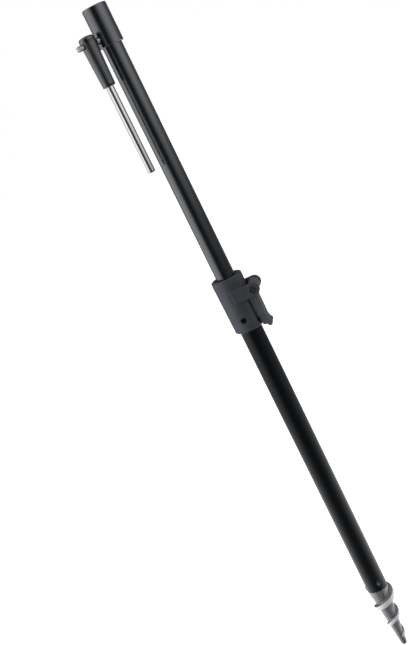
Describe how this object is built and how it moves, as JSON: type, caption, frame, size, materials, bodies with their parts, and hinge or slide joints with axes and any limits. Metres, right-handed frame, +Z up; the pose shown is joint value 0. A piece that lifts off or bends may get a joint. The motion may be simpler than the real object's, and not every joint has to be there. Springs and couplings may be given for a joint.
{
  "type": "bank stick",
  "caption": "Telescopic bank stick with a screw-in ground point, cam-lever clamp, folding crank for winding it in and a threaded socket at the top.",
  "frame": {"origin": "on the stick's axis at the tip of the ground screw", "axes": "+Z up the stick from the tip to the threaded socket; +X towards the clamp lever"},
  "size_m": [0.0457, 0.0379, 0.613],
  "materials": {
    "lower_tube": "matt black anodised tube",
    "ground_screw": "bright plated casting",
    "spike_rivet": "blackened steel",
    "clamp_body": "dark grey moulded nylon",
    "clamp_liner": "black nylon",
    "clamp_screw": "black oxide steel",
    "lever_pin": "dark steel",
    "clamp_lever": "dark grey moulded nylon",
    "black_nylon": "black nylon",
    "upper_tube": "satin black anodised tube",
    "small_steel": "bright steel",
    "top_collar": "satin black anodised collar",
    "threaded_insert": "turned brass",
    "crank_grip": "black ribbed moulding",
    "crank_rod": "polished stainless rod"
  },
  "bodies": {
    "lower_section": {"lower_tube": "lower_tube", "ground_screw": "ground_screw", "spike_rivet": "spike_rivet", "clamp_body": "clamp_body", "clamp_liner": "clamp_liner", "clamp_screw_front": "clamp_screw", "clamp_screw_back": "clamp_screw", "lever_pin": "lever_pin", "lever_nut": "lever_pin"},
    "lever": {"clamp_lever": "clamp_lever"},
    "shoe": {"pressure_shoe": "black_nylon"},
    "guide": {"guide_bush": "black_nylon"},
    "upper_section": {"upper_tube": "upper_tube", "inner_plug": "black_nylon", "plug_washer": "small_steel", "plug_screw": "small_steel", "top_collar": "top_collar", "threaded_insert": "threaded_insert", "crank_screw": "small_steel", "crank_spacer": "small_steel", "crank_nut": "small_steel"},
    "crank": {"crank_grip": "crank_grip", "crank_rod": "crank_rod"}
  },
  "joints": [
    {"name": "tube_slide", "type": "slide", "parent": "lower_section", "child": "guide", "axis": [0, 0, 1], "range_m": [-0.201, 0]},
    {"name": "tube_swivel", "type": "hinge", "parent": "guide", "child": "upper_section", "pos_m": [0, 0, 0.35], "axis": [0, 0, 1], "range_deg": [-136, 34]},
    {"name": "clamp_lever", "type": "hinge", "parent": "lower_section", "child": "lever", "pos_m": [0.018, 0, 0.364], "axis": [0, -1, 0], "range_deg": [0, 110]},
    {"name": "shoe_travel", "type": "slide", "parent": "lower_section", "child": "shoe", "axis": [1, 0, 0], "range_m": [0, 0.0004]},
    {"name": "crank_fold", "type": "hinge", "parent": "upper_section", "child": "crank", "pos_m": [-0.01311, -0.01457, 0.5886], "axis": [-0.6691, -0.7431, 0], "continuous": true}
  ],
  "couplings": [
    {"joint": "shoe_travel", "follows": "clamp_lever", "m_per_rad": 0.000208}
  ]
}
